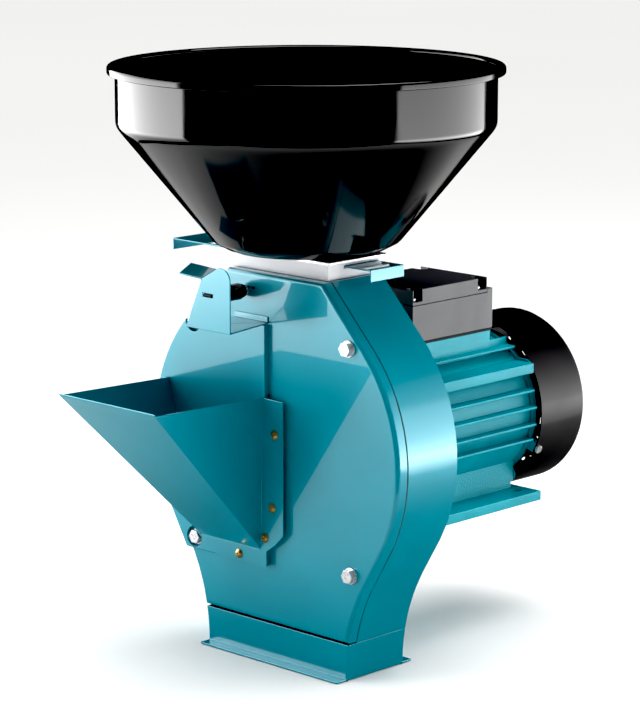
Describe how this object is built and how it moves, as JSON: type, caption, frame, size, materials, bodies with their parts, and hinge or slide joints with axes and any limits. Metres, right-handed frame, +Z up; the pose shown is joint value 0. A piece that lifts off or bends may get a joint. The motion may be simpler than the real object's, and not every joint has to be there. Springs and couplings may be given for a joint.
{
  "type": "hammer mill",
  "caption": "Electric hammer mill for grain: round grinding housing with swinging hammers and screen, top hopper with slide gate, front feed tray, finned foot motor.",
  "frame": {"origin": "middle of the motor foot holes, on the underside of the feet", "axes": "+Z up, +Y along the shaft from the mill towards the fan, +X to the right as seen from the front"},
  "size_m": [0.3999, 0.535, 0.607],
  "materials": {
    "teal_paint": "gloss",
    "motor_paint": "satin, cast texture",
    "gasket_rubber": "matt",
    "zinc_steel": "bright zinc",
    "yellow_zinc": "yellow zinc",
    "bare_steel": "machined",
    "hard_steel": "hardened, dark",
    "black_knob": "satin",
    "white_plastic": "satin",
    "hopper_plastic": "high gloss",
    "cast_aluminium": "cast",
    "core_iron": "laminated",
    "copper_winding": "varnished copper",
    "fan_plastic": "moulded",
    "black_cover": "satin",
    "box_plastic": "fine moulded grain",
    "capacitor_case": "moulded",
    "block_plastic": "moulded"
  },
  "bodies": {
    "root": {"housing_band": "teal_paint", "back_plate": "teal_paint", "outlet_box": "teal_paint", "front_cover": "teal_paint", "cover_gasket": "gasket_rubber", "cover_bolts": "zinc_steel", "cover_washers": "zinc_steel", "cover_lugs": "bare_steel", "feed_panel": "teal_paint", "feed_tray": "teal_paint", "tray_screws": "yellow_zinc", "tray_spacers": "zinc_steel", "front_bracket": "teal_paint", "slot_insert": "bare_steel", "lock_stud": "zinc_steel", "lock_nut": "zinc_steel", "knob_wire": "black_knob", "gate_body": "white_plastic", "gate_top_plate": "zinc_steel", "hopper": "hopper_plastic", "hopper_screws": "zinc_steel", "screen": "bare_steel", "screen_rails": "bare_steel", "flange_bolts": "zinc_steel", "motor_housing": "motor_paint", "front_shield": "cast_aluminium", "shaft_seal": "gasket_rubber", "rear_shield": "cast_aluminium", "tie_bolts": "zinc_steel", "stator_core": "core_iron", "stator_windings": "copper_winding", "bearing_outers": "bare_steel", "fan_cover": "black_cover", "fan_cover_screws": "zinc_steel", "box_gasket": "gasket_rubber", "terminal_box": "box_plastic", "terminal_lid": "box_plastic", "lid_screws": "zinc_steel", "capacitors": "capacitor_case", "terminal_block": "block_plastic", "cable_gland": "box_plastic"},
    "rotor": {"rotor_discs": "bare_steel", "rotor_hub": "bare_steel", "rotor_key": "zinc_steel", "rotor_sleeve": "bare_steel", "rotor_nut": "zinc_steel", "hammer_pins": "bare_steel", "pin_rings": "zinc_steel", "hammer_spacers": "bare_steel", "rotor_core": "core_iron", "rotor_cage": "cast_aluminium", "motor_shaft": "bare_steel", "bearing_inners": "bare_steel", "fan": "fan_plastic"},
    "hammer_set_1": {"hammers_1": "hard_steel"},
    "hammer_set_2": {"hammers_2": "hard_steel"},
    "hammer_set_3": {"hammers_3": "hard_steel"},
    "hammer_set_4": {"hammers_4": "hard_steel"},
    "gate": {"gate_slide": "teal_paint"},
    "knob": {"lock_knob": "black_knob"}
  },
  "joints": [
    {"name": "rotor_spin", "type": "hinge", "parent": "root", "child": "rotor", "pos_m": [0, -0.19, 0.095], "axis": [0, 1, 0], "continuous": true},
    {"name": "hammer_swing_1", "type": "hinge", "parent": "rotor", "child": "hammer_set_1", "pos_m": [0.05798, -0.19, 0.15298], "axis": [0, 1, 0], "continuous": true},
    {"name": "hammer_swing_2", "type": "hinge", "parent": "rotor", "child": "hammer_set_2", "pos_m": [-0.05798, -0.19, 0.15298], "axis": [0, 1, 0], "continuous": true},
    {"name": "hammer_swing_3", "type": "hinge", "parent": "rotor", "child": "hammer_set_3", "pos_m": [-0.05798, -0.19, 0.03702], "axis": [0, 1, 0], "continuous": true},
    {"name": "hammer_swing_4", "type": "hinge", "parent": "rotor", "child": "hammer_set_4", "pos_m": [0.05798, -0.19, 0.03702], "axis": [0, 1, 0], "continuous": true},
    {"name": "gate_slide_travel", "type": "slide", "parent": "root", "child": "gate", "axis": [1, 0, 0], "range_m": [-0.02, 0.1]},
    {"name": "knob_turn", "type": "hinge", "parent": "root", "child": "knob", "pos_m": [-0.04, -0.25, 0.2525], "axis": [0, 1, 0], "range_deg": [0, 360]}
  ]
}
